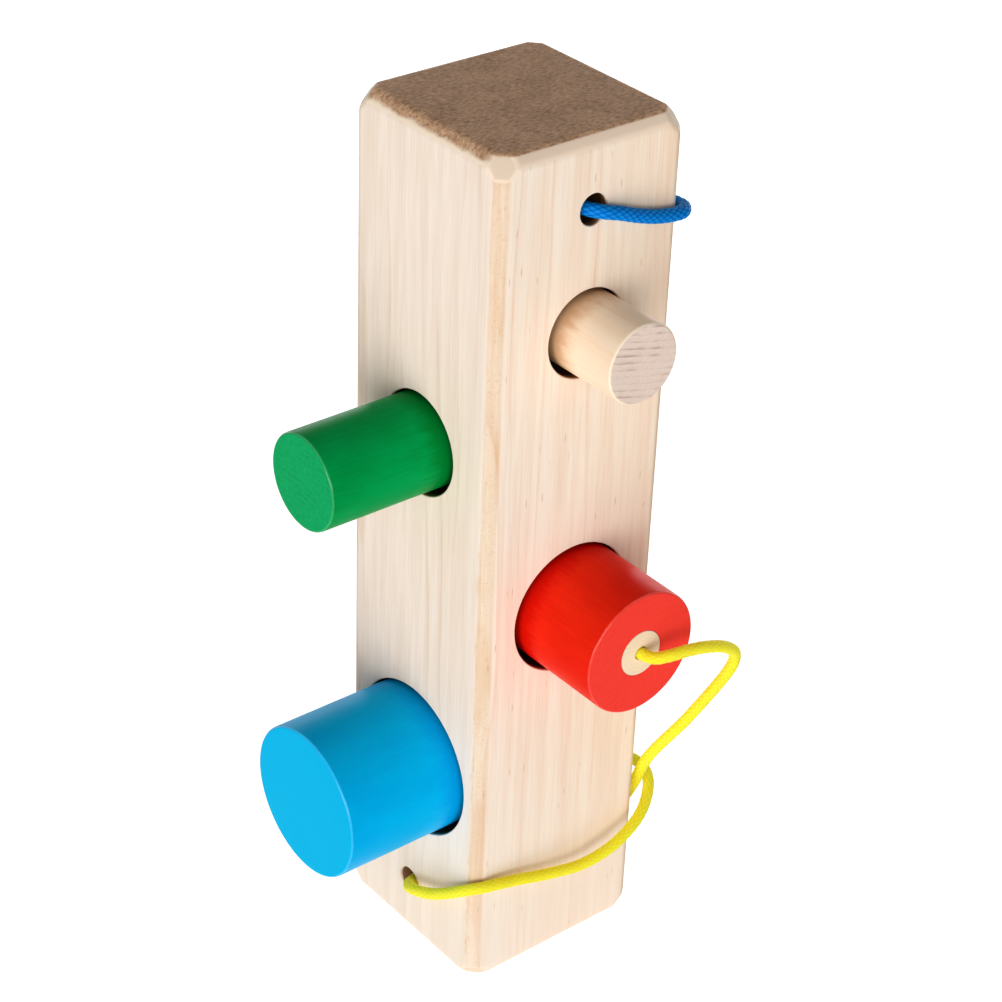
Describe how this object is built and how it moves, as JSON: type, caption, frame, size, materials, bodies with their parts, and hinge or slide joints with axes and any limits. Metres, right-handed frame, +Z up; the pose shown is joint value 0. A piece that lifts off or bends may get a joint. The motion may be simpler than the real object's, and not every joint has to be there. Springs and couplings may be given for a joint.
{
  "type": "shape matching puzzle",
  "caption": "Square wooden post with round holes through it, loose round pegs of growing thickness, a cord that ties one peg to the post and a cord loop near the top.",
  "frame": {"origin": "middle of the post's foot, on the surface that it stands on", "axes": "+Z up along the post; -Y is the side that the natural and red pegs stand out of, -X the side that the green and blue pegs stand out of"},
  "size_m": [0.1215, 0.1324, 0.3],
  "materials": {
    "post_wood": "sanded bare wood",
    "peg_wood": "sanded bare wood",
    "green_paint": "satin paint on wood",
    "red_paint": "satin paint on wood",
    "blue_paint": "gloss paint on wood",
    "plug_wood": "bare wood",
    "yellow_braid": "braided cord",
    "blue_braid": "braided cord"
  },
  "bodies": {
    "post": {"post": "post_wood", "post_plug": "plug_wood", "post_knot": "yellow_braid", "yellow_cord": "yellow_braid", "blue_cord": "blue_braid", "blue_cord_knot": "blue_braid"},
    "natural_peg": {"natural_peg": "peg_wood"},
    "green_peg": {"green_peg": "green_paint"},
    "red_peg": {"red_peg": "red_paint", "peg_plug": "plug_wood", "peg_knot": "yellow_braid"},
    "blue_peg": {"blue_peg": "blue_paint"}
  },
  "joints": [
    {"name": "natural_peg_slide", "type": "slide", "parent": "post", "child": "natural_peg", "axis": [0, -1, 0], "range_m": [-0.024, 0.093]},
    {"name": "green_peg_slide", "type": "slide", "parent": "post", "child": "green_peg", "axis": [-1, 0, 0], "range_m": [-0.042, 0.075]},
    {"name": "red_peg_slide", "type": "slide", "parent": "post", "child": "red_peg", "axis": [0, -1, 0], "range_m": [-0.032, 0.085], "deforming": ["yellow_cord"]},
    {"name": "blue_peg_slide", "type": "slide", "parent": "post", "child": "blue_peg", "axis": [-1, 0, 0], "range_m": [-0.042, 0.075]}
  ]
}
